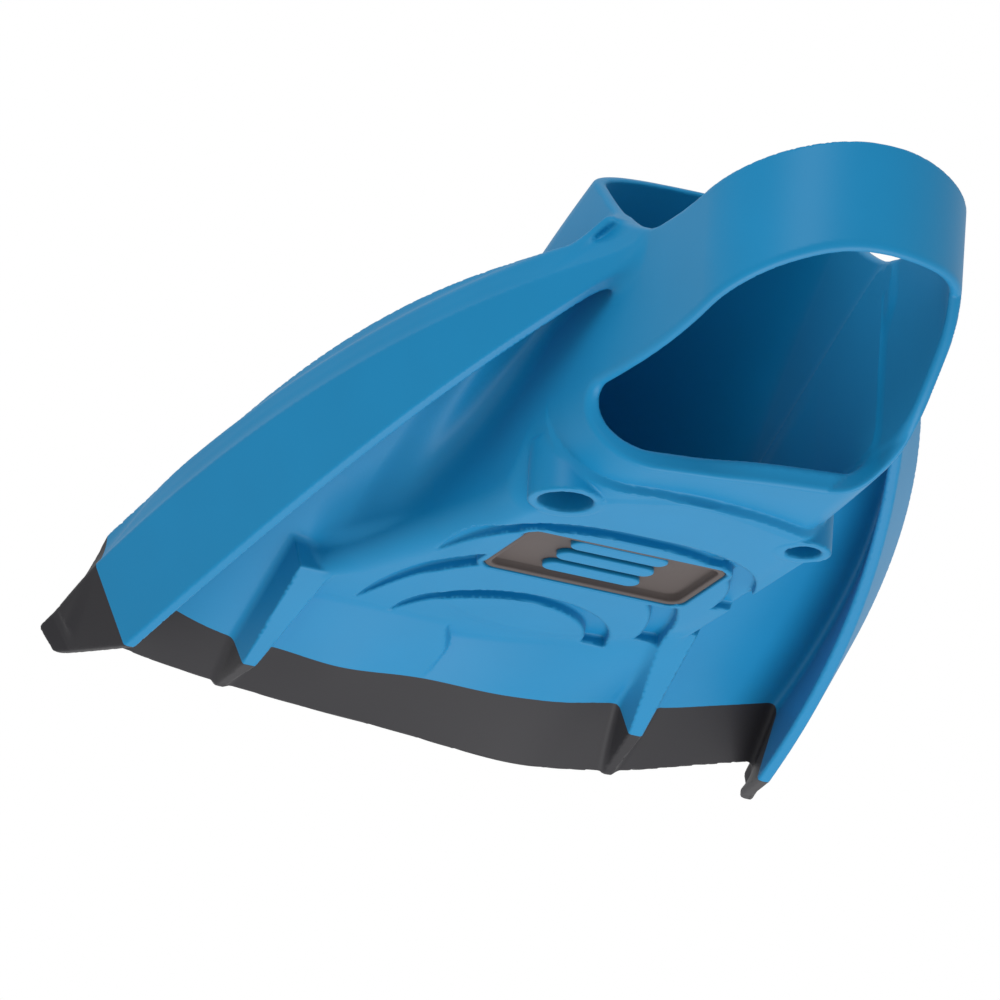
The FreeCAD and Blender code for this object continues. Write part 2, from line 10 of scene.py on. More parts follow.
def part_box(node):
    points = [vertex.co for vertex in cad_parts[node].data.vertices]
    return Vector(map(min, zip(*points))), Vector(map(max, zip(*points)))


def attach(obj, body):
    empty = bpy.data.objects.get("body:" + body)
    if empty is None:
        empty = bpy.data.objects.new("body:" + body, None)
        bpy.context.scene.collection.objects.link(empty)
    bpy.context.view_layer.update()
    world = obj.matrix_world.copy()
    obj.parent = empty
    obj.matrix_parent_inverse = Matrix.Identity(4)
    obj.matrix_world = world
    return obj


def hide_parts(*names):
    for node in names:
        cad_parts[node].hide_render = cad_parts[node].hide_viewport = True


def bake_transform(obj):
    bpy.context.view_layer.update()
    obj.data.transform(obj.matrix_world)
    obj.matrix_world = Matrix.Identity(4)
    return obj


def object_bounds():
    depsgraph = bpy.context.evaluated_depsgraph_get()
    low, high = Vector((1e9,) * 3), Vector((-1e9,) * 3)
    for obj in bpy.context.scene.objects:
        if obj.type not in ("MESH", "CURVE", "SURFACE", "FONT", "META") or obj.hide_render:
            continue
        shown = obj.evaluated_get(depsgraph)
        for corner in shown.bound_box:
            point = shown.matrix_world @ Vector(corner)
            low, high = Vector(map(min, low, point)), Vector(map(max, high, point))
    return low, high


# A swim training fin. The soft parts are one moulded skin, built as a distance
# field in millimetres, meshed, and cut where the material or the body changes.
# The field is measured from the toe crease, where the blade starts to bend.

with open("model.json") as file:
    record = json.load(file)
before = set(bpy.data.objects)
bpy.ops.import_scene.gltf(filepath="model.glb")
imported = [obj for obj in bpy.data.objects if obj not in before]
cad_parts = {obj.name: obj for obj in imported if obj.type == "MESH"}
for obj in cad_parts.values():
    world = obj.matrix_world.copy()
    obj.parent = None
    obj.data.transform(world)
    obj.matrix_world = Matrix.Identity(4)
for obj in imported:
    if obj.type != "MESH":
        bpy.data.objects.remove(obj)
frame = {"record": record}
CAD_LOW, CAD_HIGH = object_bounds()
MM = 1000.0
HINGES = {joint["name"]: joint["pos_m"] for joint in frame["record"]["behaviour"]["joints"]}
CREASE = np.array([0, HINGES["blade_flex"][1] * MM, 0])


def box_mm(node):
    """Lowest and highest corner of a CAD node, in millimetres from the toe crease."""
    low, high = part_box(node)
    return np.array(low) * MM - CREASE, np.array(high) * MM - CREASE


def in_frame(points):
    """Places in millimetres from the toe crease, as metres in the frame."""
    return (np.asarray(points, float) + CREASE) / MM


POCKET_LOW, POCKET_HIGH = box_mm("foot_pocket")
HEEL_LOW, HEEL_HIGH = box_mm("heel_strap")
PAD_LOW, _ = box_mm("sole_pad")
INSERT_LOW, INSERT_HIGH = box_mm("sole_insert")
BARS_LOW, BARS_HIGH = box_mm("grip_bars")
_, PANEL_HIGH = box_mm("blade_panel")
TIP_LOW, TIP_HIGH = box_mm("blade_tip")
RAIL_LOW, _ = box_mm("rail_left")

# Foot pocket.
SHIFT = (POCKET_LOW[0] + POCKET_HIGH[0]) / 2        # the pocket sits to the right of the blade's centreline
FOREFOOT = (POCKET_HIGH[0] - POCKET_LOW[0]) / 2
TOE = POCKET_HIGH[1]
BASE = POCKET_LOW[2]
RISE = 0.981 * (POCKET_HIGH[2] - BASE)
HEEL_RADIUS = 0.985 * (HEEL_HIGH[0] - HEEL_LOW[0]) / 2
HEEL_BACK = HEEL_LOW[1]
HEEL_CENTRE = HEEL_BACK + HEEL_RADIUS
INSTEP = TOE - 109.0
WALL = 3.6
FLOOR = 4.5
OPEN_FRONT = HEEL_BACK + 95.0       # front edge of the opening under the heel
BAND_LOW = 40.0
BAND_HIGH = 71.0
DIP = HEEL_BACK + 61.0              # lowest place of the ankle opening's sides
DIP_HEIGHT = 59.0
INSTEP_LIFT = 38.5                  # how far the rim climbs from its dip to the instep
RIGHT_LIFT = 7.0                    # how much shallower the dip is on the right
SILL = 2.5                          # the pocket's underside behind the pad's rear edge
PAD_REAR = PAD_LOW[1] + 1.0
BORDER = 2.0                        # blue border left standing round the insert
RING_WALL = 2.9
RING_EDGE = -0.4                    # the rings stand this far below the pad
RING_TOP = 16.0
BORE_DEPTHS = {"tether_ring_left": 20.0, "tether_ring_right": 9.0}
GROOVE_WIDTH = 6.5
GROOVE_DEPTH = 2.6

# Blade and rails.
SEAM = (PANEL_HIGH[1] + TIP_LOW[1]) / 2             # the dark tip starts here
END = TIP_HIGH[1]
EDGE = SEAM + 0.8 * (END - SEAM)
RUN = 1.0426 * (SEAM - RAIL_LOW[1])
CHINE_HALF = PANEL_HIGH[0]
DROOP = 0.36                        # slope of the webs' underside beside the pocket
WEB_THICK = 5.0
BLADE_THICK = 3.0
RIB_ROOT_LEFT = -20.0
RIB_ROOT_RIGHT = -31.0
REARMOST = -160.0                   # no web reaches further back than this
# Where the skin is cut for the heel band.
HEEL_CUT = -166.0
# Height of the blade's underside across the seam and across the front edge.
SEAM_LINE = ((-104, 6), (-84, -3.7), (-68, -8.0), (-52, -8.8), (-34, -10.4), (-9, -8.6), (18, -8.4),
             (35, -6.8), (49, -4.1), (63, -2.6), (82, 1.9), (105, 7.9))
EDGE_LINE = ((-104, -10.5), (-81, -12), (-33, -15.2), (-3, -16.8), (18, -18.4), (30, -18.9), (46, -17.6),
             (64, -14.8), (88, -9.8), (104, -7.5))

FINE_STEP = 0.9
STEP = FINE_STEP


# ------------------------------------------------------ field building blocks

def mix(a, b, share):
    """The first value at share 0, the second at 1, and between them in proportion."""
    return a + (b - a) * share


def ramp(value, start, stop):
    """0 before start, 1 after stop, smooth between."""
    share = np.clip((value - start) / (stop - start), 0, 1)
    return share * share * (3 - 2 * share)


def join(a, b, fillet):
    """The two shapes together, with a fillet where they meet."""
    share = np.clip(0.5 + 0.5 * (b - a) / fillet, 0, 1)
    return mix(b, a, share) - fillet * share * (1 - share)


def carve(a, tool, fillet):
    """The first shape with the tool's shape taken away."""
    return -join(-a, tool, fillet)


def overlap(a, b, radius):
    """Where both shapes are, with a round edge between them."""
    u = np.maximum(a + radius, 0)
    v = np.maximum(b + radius, 0)
    return np.minimum(np.maximum(a, b), -radius) + np.sqrt(u * u + v * v)


def curve_through(points, value):
    """A smooth curve through pairs of place and height, its slopes taken from their neighbours."""
    places = np.array([p for p, _ in points], float)
    heights = np.array([h for _, h in points], float)
    slopes = np.gradient(heights, places)
    index = np.clip(np.searchsorted(places, value) - 1, 0, len(places) - 2)
    gap = places[index + 1] - places[index]
    t = np.clip((value - places[index]) / gap, 0, 1)
    start = (2 * t**3 - 3 * t**2 + 1) * heights[index] + (t**3 - 2 * t**2 + t) * gap * slopes[index]
    stop = (3 * t**2 - 2 * t**3) * heights[index + 1] + (t**3 - t**2) * gap * slopes[index + 1]
    return start + stop


def polygon(u, v, corners):
    """Signed distance to a closed outline whose corners are numbers or arrays."""
    nearest = np.full(np.shape(u), 1e12)
    inside = np.zeros(np.shape(u), bool)
    for (ax, ay), (bx, by) in zip(corners, corners[1:] + corners[:1]):
        ex, ey = bx - ax, by - ay
        pu, pv = u - ax, v - ay
        along = np.clip((pu * ex + pv * ey) / (ex * ex + ey * ey), 0, 1)
        du, dv = pu - ex * along, pv - ey * along
        nearest = np.minimum(nearest, du * du + dv * dv)
        above, below, left = v >= ay, v < by, ex * pv > ey * pu
        inside ^= (above & below & left) | ~(above | below | left)
    return np.sqrt(nearest) * np.where(inside, -1, 1)


# ------------------------------------------------------------- foot pocket

def foot_outline(x, y, z):
    """Distance to the foot's outline at each height: a forefoot circle joined to a heel circle."""
    level = np.clip((z - BASE) / RISE, 0, 1.2)
    toe = TOE + 1.1 * level**1.9 * (INSTEP - TOE)
    radius = FOREFOOT * (1 - 0.24 * level**2.2)
    length = toe - radius - HEEL_CENTRE
    lean = (HEEL_RADIUS - radius) / length
    upright = np.sqrt(1 - lean * lean)
    across = np.abs(x - SHIFT)
    along = y - HEEL_CENTRE
    reach = upright * along - lean * across
    flank = upright * across + lean * along - HEEL_RADIUS
    heel = np.hypot(across, along) - HEEL_RADIUS
    forefoot = np.hypot(across, along - length) - radius
    return np.where(reach < 0, heel, np.where(reach > upright * length, forefoot, flank))


def last_wall(x, y, z):
    """Distance to the pocket's outside, true also where the toe end leans back."""
    middle = foot_outline(x, y, z)
    lean = (foot_outline(x, y, z + 1) - foot_outline(x, y, z - 1)) / 2
    return middle / np.sqrt(1 + lean * lean)


def upper_rim(x, y):
    """Height of the ankle opening's rim, whose dip is shallower on the right."""
    back = (BAND_HIGH - DIP_HEIGHT) * (np.clip(DIP - y, 0, None) / (DIP - HEEL_BACK)) ** 2
    front = INSTEP_LIFT * ramp(y, DIP, INSTEP + 6.0) ** 1.15
    right = RIGHT_LIFT * ramp(x - SHIFT, 5, 30) * ramp(60 - np.abs(y - DIP), 0, 60)
    return DIP_HEIGHT + back + front + right


def lower_rim(x, y):
    """Height of the rim of the opening under the heel, which starts lower on the right."""
    left_run = np.clip((OPEN_FRONT - y) / (OPEN_FRONT - HEEL_BACK), 0, 1.1)
    right_run = np.clip((OPEN_FRONT - 11.0 - y) / 61.0, 0, 1)
    left = BAND_LOW - 18.0 * (1 - left_run**3)
    right = SILL + (BAND_LOW - SILL) * right_run**1.7
    return mix(left, right, ramp(x - SHIFT, -22, 26))


def left_side(x):
    """1 on the left of the pocket, where its underside is rounder, and 0 on the right."""
    return ramp(SHIFT - x, -16, 16)


def pad_rear(x):
    """The curved rear edge of the pad, between the two tether rings."""
    return PAD_REAR + 7.0 * ((x - SHIFT) / 36.0) ** 2


def underside(x, y):
    """Height of the sole's and the pocket's underside, and the radius that rounds it into the wall."""
    under = SILL * ramp(pad_rear(x) - y, -0.8, 0.8)
    radius = mix(9.0, 23.0, left_side(x) * ramp(-y, 95, 112))
    return under, radius


def pocket(x, y, z):
    """The hollow foot pocket with its two openings."""
    wall = last_wall(x, y, z)
    under, radius = underside(x, y)
    body = overlap(wall, under - z, radius)
    hollow = overlap(wall + WALL, BASE + FLOOR - z, np.maximum(radius - 5.0, 6.0))
    shell = np.maximum(body, -hollow)
    top = (z - upper_rim(x, y)) * 0.9
    front = OPEN_FRONT + 1.0 - 0.2 * x
    through_floor = overlap(wall + 3.0, z - BASE - 2 * FLOOR, 2.0)
    below_rim = join((z - lower_rim(x, y)) * 0.85, through_floor, 5.0)
    hole = overlap(below_rim, y - front, mix(14.0, 9.0, left_side(x)))
    kept = np.maximum(top, -hole)
    return overlap(shell, kept, 1.5)


# ---------------------------------------------------------- sole and rings

def pad_plan(x, y):
    """Distance to the pad's outline, seen from below. Its front is hidden in the blade."""
    corners = [(-60, -18), (-52, 8), (10, 8), (38, -14), (49.5, -32), (50.5, -104), (40, -118),
               (SHIFT, PAD_REAR - 2), (-14, -118), (-34, -100), (-44, -62)]
    return polygon(x, y, corners)


def sole(x, y, z, web):
    """The flat sole pad under the pocket, as high as the web beside it."""
    radius = mix(1.0, 9.0, ramp(-x, 20, 40) * ramp(-y, 8, 30))
    plate = overlap(pad_plan(x, y), -z, radius)
    plate = np.maximum(plate, pad_rear(x) - y)
    return np.maximum(plate, z - web - 2.0)


def ring(x, y, z, node, depth):
    """A tether ring's outside and its bore."""
    low, high = box_mm(node)
    centre = (low + high) / 2
    radius = (high[0] - low[0]) / 2
    distance = np.hypot(x - centre[0], y - centre[1])
    middle = (RING_TOP + RING_EDGE) / 2
    tube = overlap(distance - radius, np.abs(z - middle) - (RING_TOP - middle), 0.5)
    bore = np.maximum(distance - (radius - RING_WALL), z - depth)
    return tube, bore


def groove(x, y, z, centre, half, power, start, stop):
    """A crescent groove with a flat floor, pinched to nothing at its left end.

    Its outer side follows an oval, from start to stop in degrees round the oval's centre.
    """
    dx, dy = x - centre[0], y - centre[1]
    turn = np.degrees(np.arctan2(dy, dx)) % 360
    share = np.clip((turn - start) / (stop - start), 0, 1)
    wide = GROOVE_WIDTH * np.clip(share * 3.0, 0.02, 1) ** 0.6
    oval = (np.abs(dx / half[0]) ** power + np.abs(dy / half[1]) ** power) ** (1 / power)
    outward = (oval - 1) * min(half)
    gap = np.abs(outward + wide / 2) - wide / 2
    ends = np.maximum(start - turn, turn - stop) * math.radians(min(half))
    return overlap(np.maximum(gap, ends), z - GROOVE_DEPTH * np.sqrt(wide / GROOVE_WIDTH), 0.9)


def tread(x, y, z):
    """The three grooves of the sole."""
    front = groove(x, y, z, (1.5, -7), (31, 31), 2, 175, 352)
    middle = groove(x, y, z, (1, -14), (43, 57), 2.2, 172, 350)
    rear = groove(x, y, z, (SHIFT, -50), (45, 47), 2.8, 186, 352)
    return np.minimum(np.minimum(front, middle), rear)


def insert_plan(x, y):
    """Distance to the insert's outline with its round corners."""
    centre = (INSERT_LOW + INSERT_HIGH) / 2
    half = (INSERT_HIGH - INSERT_LOW) / 2
    return overlap(np.abs(x - centre[0]) - half[0], np.abs(y - centre[1]) - half[1], 5.0)


# ---------------------------------------------------------- blade and rails

def share_back(y):
    """How far back along the rail a place is: 0 at the seam, 1 at the root."""
    return np.clip((SEAM - y) / RUN, 0, 1.1)


def rail_lines(y, left):
    """The rail's chine, keel and crest at each place along the fin, as pairs across and up."""
    s = share_back(y)
    bulge = 4 * s * (1 - s)
    shift = np.where(left, -20.0 * s**4, 1.0 - 5.0 * s**4 + 7.0 * bulge)
    forward = np.clip(y - SEAM, 0, None)
    to_edge = np.clip(forward / (EDGE - SEAM), 0, 1)
    to_end = np.clip((y - EDGE) / (END - EDGE), 0, 1)
    chine_x = CHINE_HALF - 32 * s - 30 * s * s + shift + 1.6 * to_edge + np.where(left, 1.4, 0.2) * to_end
    chine_z = 4 + 65 * s - 12 * s * s - 7.6 * to_edge - 2.4 * to_end
    keel_x = CHINE_HALF - 11 - 36 * s - 15 * s * s + shift + 6.0 * to_edge + 2.7 * to_end
    keel_z = -17.5 + 59 * s + 8 * s * s + 7 * s**4 + 4.5 * to_edge + 1.0 * to_end
    crest_x = chine_x - 1 - 5 * bulge
    crest_z = chine_z + 1 + 14 * bulge
    return (chine_x, chine_z), (keel_x, keel_z), (crest_x, crest_z)


def rail_wall(y):
    """How thick the rail is above its keel."""
    return 7.0 * (1 - 0.6 * share_back(y)) - 2.8 * np.clip((y - SEAM) / (END - SEAM), 0, 1)


def rail(across, y, z, left):
    """A side rail: a slanting flank, a blunt keel and a leaf-shaped facet on top."""
    chine, keel, crest = rail_lines(y, left)
    wall = rail_wall(y)
    inner = chine[0] - wall
    low = chine[1] + 3.0 - 6.5 * np.clip((y - SEAM) / (EDGE - SEAM), 0, 1)
    corners = [(inner, low), (keel[0] - 1.6, keel[1] + 1.0), (keel[0] + 0.3, keel[1] + 1.0),
               (chine[0] - 1.1, chine[1]), (crest[0] - 0.9, crest[1] - 0.9),
               (crest[0] - wall, low + 4.0)]
    section = polygon(across, z, corners) - 1.0
    return overlap(section, np.maximum(y - END, RAIL_LOW[1] - y), 1.2)


def web_underside(across, y, left):
    """Height of the underside of the webs that join the rails to the pocket."""
    chine, _, _ = rail_lines(y, left)
    inner = 0.42 * chine[0]
    outer = chine[0] - rail_wall(y)
    share = np.clip((across - inner) / (outer - inner), 0, 1.2)
    side = chine[1] + 3.0 - 4.5 * np.clip((y - SEAM) / (EDGE - SEAM), 0, 1)
    return mix(-DROOP * y, side, share**1.8)


def sheet_underside(x, y, web):
    """Height of the blade's underside, which folds away from the sole along the toe crease."""
    at_seam = curve_through(SEAM_LINE, x)
    at_edge = curve_through(EDGE_LINE, x)
    beyond = np.clip((y - SEAM) / (EDGE - SEAM), 0, 1.3)
    # The left lobe folds along a straight crease and the rest along a curve that falls back.
    past = np.clip(x + 7.0, 0, 70)
    right_crease = 4.0 - 0.2 * past - 0.0075 * past * past
    left_crease = -4.0
    lobe_edge = -10.5 + 4.0 * ramp(y, -4, 9) - 1.5 * ramp(y, 9, 22)
    lobe = ramp(lobe_edge - x, -0.9, 0.9)
    crease = mix(right_crease, left_crease, lobe)
    folded = at_seam * (y - crease) / (SEAM - crease)
    outside = web + (at_seam - web_underside(np.abs(x), SEAM, x < 0)) * np.clip((y + 45) / (SEAM + 45), 0, 1)
    behind = mix(folded, outside, ramp(np.abs(x), 47, 57))
    return np.where(y > SEAM, mix(at_seam, at_edge, beyond), behind)


def sheet(x, y, z, web, under):
    """The blade's thin sheet, carried back as the webs that join the rails to the pocket."""
    across = np.abs(x)
    to_edge = np.clip((y - SEAM) / (EDGE - SEAM), 0, 1)
    top = mix(web + WEB_THICK, under + BLADE_THICK, to_edge)
    top = np.maximum(top, under + BLADE_THICK)
    slab = np.maximum(under - z, z - top) * 0.88
    chine, _, _ = rail_lines(y, x < 0)
    front = y - EDGE + 0.5 * (across / 59.0) ** 4
    plan = np.maximum(front, np.maximum(across - chine[0] + 3, REARMOST - y))
    return overlap(slab, plan, 0.9)


def rib(x, y, z, under):
    """A ridge under the blade from the pad's front corner to the tip."""
    left = x < 0
    root = np.where(left, RIB_ROOT_LEFT, RIB_ROOT_RIGHT)
    back = np.clip((SEAM - y) / (SEAM - root), 0, 1)
    ahead = np.clip((y - SEAM) / (EDGE - SEAM), 0, 1)
    centre = np.where(left, 60.0 - 1.0 * back - 2.0 * ahead, 57.5 - 11.0 * back + 3.0 * ahead)
    crest = np.where(left, -15.5 + 16.0 * back + 1.5 * ahead, -12.0 + 12.6 * back - 3.6 * ahead)
    half_crest = 1.7 + 3.0 * back - 0.7 * ahead
    half_base = 6.0 + 1.5 * back - 3.2 * ahead
    across = np.abs(x) - centre
    corners = [(-half_base, under + 2), (-half_crest, crest + 0.4), (half_crest, crest + 0.4),
               (half_base, under + 2)]
    section = polygon(across, z, corners) - 0.4
    return overlap(section, np.maximum(root - y, y - EDGE - 0.6), 0.5)


# ------------------------------------------------------------- the whole fin

def fin(x, y, z):
    """Signed distance to the whole moulded fin, in millimetres."""
    across = np.abs(x)
    left = x < 0
    web = web_underside(across, y, left)
    under = sheet_underside(x, y, web)
    shape = join(sheet(x, y, z, web, under), rail(across, y, z, left), 4.0)
    shape = join(shape, rib(x, y, z, under), 1.5)
    inside = last_wall(x, y, z) + WALL / 2
    shape = np.maximum(shape, -np.maximum(inside, BASE - 1.0 - z))
    plate = np.maximum(sole(x, y, z, web), -np.maximum(inside, BASE + 2.0 - z))
    foot = join(pocket(x, y, z), plate, 2.0)
    # The pocket flows into the web's underside, and stands more sharply on its top.
    below_web = ramp(120 + y, 0, 30) * ramp(web + 8.0 - z, 0, 8)
    flow = ramp(-y, 10, 40) * ramp(z, 1, 10) * mix(0.55, 1.0, below_web)
    shape = join(shape, foot, 0.8 + 11.0 * flow)
    ceiling = np.where(y < INSTEP, (z - upper_rim(x, y)) * 0.9, z - CAD_HIGH[2] * MM)
    shape = overlap(shape, ceiling, 1.5)
    for node, depth in BORE_DEPTHS.items():
        tube, bore = ring(x, y, z, node, depth)
        shape = join(shape, tube, 1.0)
        shape = carve(shape, bore, 0.8)
    insert = insert_plan(x, y)
    grooves = np.maximum(tread(x, y, z), BORDER - insert)
    shape = carve(shape, grooves, 0.5)
    recess = np.maximum(insert, z - INSERT_HIGH[2])
    return np.maximum(shape, -recess)


# ------------------------------------------------------------------ meshing

def sampled(field, step, margin):
    """The field on a grid round the CAD's box, worked out closely only near the surface."""
    block = 4
    low = np.array(CAD_LOW) * MM - CREASE - margin
    high = np.array(CAD_HIGH) * MM - CREASE + margin
    blocks = np.ceil((high - low) / (step * block)).astype(int)
    centres = [low[i] + (np.arange(blocks[i]) + 0.5) * block * step for i in range(3)]
    rough = field(*np.meshgrid(*centres, indexing="ij"))
    near = np.abs(rough) < block * step * 1.6
    values = rough.astype(np.float32)
    for axis in range(3):
        values = np.repeat(values, block, axis)
        near = np.repeat(near, block, axis)
    index = np.nonzero(near)
    places = [low[i] + (index[i] + 0.5) * step for i in range(3)]
    values[index] = field(*places)
    return values, low + 0.5 * step


def surface_net(values, low, step):
    """Corners and four-sided faces of the surface where the sampled field is zero."""
    inside = values < 0
    shape = np.array(values.shape) - 1
    cells = [slice(0, n) for n in shape]
    total = np.zeros(shape, np.int8)
    offsets = [(i, j, k) for i in (0, 1) for j in (0, 1) for k in (0, 1)]
    for i, j, k in offsets:
        total += inside[i:i + shape[0], j:j + shape[1], k:k + shape[2]]
    active = (total > 0) & (total < 8)
    where = np.array(np.nonzero(active)).T
    number = np.full(shape, -1, np.int32)
    number[active] = np.arange(len(where))
    place = np.zeros((len(where), 3))
    crossings = np.zeros(len(where))
    for axis in range(3):
        for start in offsets:
            if start[axis]:
                continue
            stop = list(start)
            stop[axis] = 1
            a = values[tuple((where + start).T)]
            b = values[tuple((where + stop).T)]
            crossed = (a < 0) != (b < 0)
            share = np.where(crossed, a / np.where(crossed, a - b, 1), 0)
            for other in range(3):
                at = share if other == axis else start[other]
                place[:, other] += crossed * at
            crossings += crossed
    place = where + place / crossings[:, None]
    faces = []
    for axis in range(3):
        u, v = (axis + 1) % 3, (axis + 2) % 3
        changed = inside != np.roll(inside, -1, axis)
        keep = [slice(0, n) for n in shape]
        keep[u] = slice(1, shape[u])
        keep[v] = slice(1, shape[v])
        mask = np.zeros(values.shape, bool)
        mask[tuple(keep)] = changed[tuple(keep)]
        at = np.array(np.nonzero(mask)).T
        quad = []
        for du, dv in ((0, 0), (-1, 0), (-1, -1), (0, -1)):
            cell = at.copy()
            cell[:, u] += du
            cell[:, v] += dv
            quad.append(number[tuple(cell.T)])
        quad = np.array(quad).T
        outward = inside[tuple(at.T)]
        quad[~outward] = quad[~outward][:, ::-1]
        faces.append(quad)
    return low + place * step, np.concatenate(faces)


def gradient(field, points, reach=0.05):
    """How steeply the field rises along each axis at each point."""
    result = np.zeros_like(points)
    for axis in range(3):
        step = np.zeros(3)
        step[axis] = reach
        ahead = field(*(points + step).T)
        behind = field(*(points - step).T)
        result[:, axis] = (ahead - behind) / (2 * reach)
    return result


def settled(field, points, rounds, limit):
    """The points moved onto the surface, each by no more than the limit a round."""
    for _ in range(rounds):
        slope = gradient(field, points)
        size = np.maximum((slope * slope).sum(1), 0.2)
        move = -slope * (field(*points.T) / size)[:, None]
        length = np.linalg.norm(move, axis=1)
        move *= np.minimum(1, limit / np.maximum(length, 1e-9))[:, None]
        points = points + move
    return points


def skin_mesh():
    """Corners and faces of the whole moulded skin."""
    values, low = sampled(fin, STEP, 4 * STEP)
    points, faces = surface_net(values, low, STEP)
    points = settled(fin, points, 2, STEP / 2)
    return points, faces


def linked(name, data):
    """A new object in the scene that shows the given mesh, light or camera."""
    obj = bpy.data.objects.new(name, data)
    bpy.context.scene.collection.objects.link(obj)
    return obj


def object_from(name, points, faces):
    """An object made of corners in millimetres from the toe crease and of faces."""
    mesh = bpy.data.meshes.new(name)
    mesh.from_pydata(in_frame(points).tolist(), [], faces.tolist())
    mesh.validate()
    return linked(name, mesh)


def slice_off(source, name, low, high):
    """A copy of the part of the skin between two places along the fin, closed where it is cut."""
    obj = source.copy()
    obj.data = source.data.copy()
    obj.name = name
    obj.data.name = name
    bpy.context.scene.collection.objects.link(obj)
    bm = bmesh.new()
    bm.from_mesh(obj.data)
    for place, keep_ahead in ((low, True), (high, False)):
        if place is None:
            continue
        result = bmesh.ops.bisect_plane(
            bm, geom=bm.verts[:] + bm.edges[:] + bm.faces[:], plane_co=in_frame((0, place, 0)),
            plane_no=(0, 1, 0), clear_outer=not keep_ahead, clear_inner=keep_ahead)
        rim = [e for e in result["geom_cut"] if isinstance(e, bmesh.types.BMEdge)]
        bmesh.ops.holes_fill(bm, edges=rim, sides=0)
    bm.to_mesh(obj.data)
    bm.free()
    return obj


def soften(obj):
    """Smooth shading that follows the field itself, so that pieces cut from one skin match."""
    count = len(obj.data.vertices)
    co = np.zeros(count * 3)
    obj.data.vertices.foreach_get("co", co)
    normals = gradient(fin, co.reshape(-1, 3) * MM - CREASE, 0.25)
    normals /= np.maximum(np.linalg.norm(normals, axis=1), 1e-9)[:, None]
    obj.data.polygons.foreach_set("use_smooth", [True] * len(obj.data.polygons))
    obj.data.normals_split_custom_set_from_vertices(normals.tolist())
    return obj


# ---------------------------------------------------------------- materials

CLOUDS = 0.07                       # how much the colour varies, as a share of it


def silicone(name, colour, rough):
    """Moulded silicone: faint clouds in its colour, a soft sheen and a fine grain."""
    material = bpy.data.materials.new(name)
    material.use_nodes = True
    nodes, links = material.node_tree.nodes, material.node_tree.links
    shader = nodes["Principled BSDF"]
    shader.inputs["Roughness"].default_value = rough
    shader.inputs["Specular IOR Level"].default_value = 0.25
    shader.inputs["Sheen Weight"].default_value = 0.05
    shader.inputs["Sheen Roughness"].default_value = 0.5
    place = nodes.new("ShaderNodeTexCoord")
    clouds = nodes.new("ShaderNodeTexNoise")
    clouds.inputs["Scale"].default_value = 35
    clouds.inputs["Detail"].default_value = 4
    links.new(place.outputs["Object"], clouds.inputs["Vector"])
    shade = nodes.new("ShaderNodeMixRGB")
    shade.inputs["Color1"].default_value = (*[c * (1 - CLOUDS) for c in colour], 1)
    shade.inputs["Color2"].default_value = (*[min(1, c * (1 + CLOUDS)) for c in colour], 1)
    links.new(clouds.outputs["Fac"], shade.inputs["Fac"])
    links.new(shade.outputs["Color"], shader.inputs["Base Color"])
    grain = nodes.new("ShaderNodeTexNoise")
    grain.inputs["Scale"].default_value = 1400
    links.new(place.outputs["Object"], grain.inputs["Vector"])
    bump = nodes.new("ShaderNodeBump")
    bump.inputs["Strength"].default_value = 0.08
    bump.inputs["Distance"].default_value = 0.0002
    links.new(grain.outputs["Fac"], bump.inputs["Height"])
    links.new(bump.outputs["Normal"], shader.inputs["Normal"])
    return material


def linear(*srgb):
    """A colour given as the eye sees it, 0 to 255, as the renderer's own light values."""
    values = [c / 255 for c in srgb]
    return tuple(c / 12.92 if c <= 0.04045 else ((c + 0.055) / 1.055) ** 2.4 for c in values)


BLUE = silicone("blue_silicone", linear(6, 130, 182), 0.45)
DARK = silicone("dark_silicone", linear(39, 38, 42), 0.5)
TRAY = silicone("dark_insert", linear(86, 78, 76), 0.6)


def paint(obj, material):
    """Give a piece its one material."""
    obj.data.materials.clear()
    obj.data.materials.append(material)
    return obj


# ------------------------------------------------------------ tray and bars

def lofted(name, loops):
    """A closed object from rings of corners, each ring joined to the next and both ends closed."""
    bm = bmesh.new()
    loops = [[bm.verts.new(in_frame(corner)) for corner in loop] for loop in loops]
    for inner, outer in zip(loops[1:], loops):
        for i in range(len(inner)):
            j = (i + 1) % len(inner)
            bm.faces.new((outer[i], outer[j], inner[j], inner[i]))
    bm.faces.new(loops[0])
    bm.faces.new(loops[-1])
    bmesh.ops.recalc_face_normals(bm, faces=bm.faces)
    mesh = bpy.data.meshes.new(name)
    bm.to_mesh(mesh)
    bm.free()
    mesh.polygons.foreach_set("use_smooth", [True] * len(mesh.polygons))
    return linked(name, mesh)


# Rings of the tray: how far in from the outline, height, corner radius.
TRAY_RINGS = ((0.3, INSERT_HIGH[2], 5.0), (0.0, 1.0, 5.0), (0.15, 0.3, 4.9), (0.4, 0.0, 4.6), (1.7, 0.0, 3.6),
              (1.95, 0.15, 3.4), (2.05, 0.5, 3.3), (2.2, 2.1, 3.1), (2.6, 2.4, 2.8))
# Rings of a bar: how far in from the outline, height.
BAR_RINGS = ((0.0, 2.6), (0.0, 1.3), (0.12, 1.0), (0.4, 0.84), (0.9, 0.8))
BAR_RADIUS = 3.1
BAR_PITCH = 9.2
CORNER_STEPS = 8
END_STEPS = 12


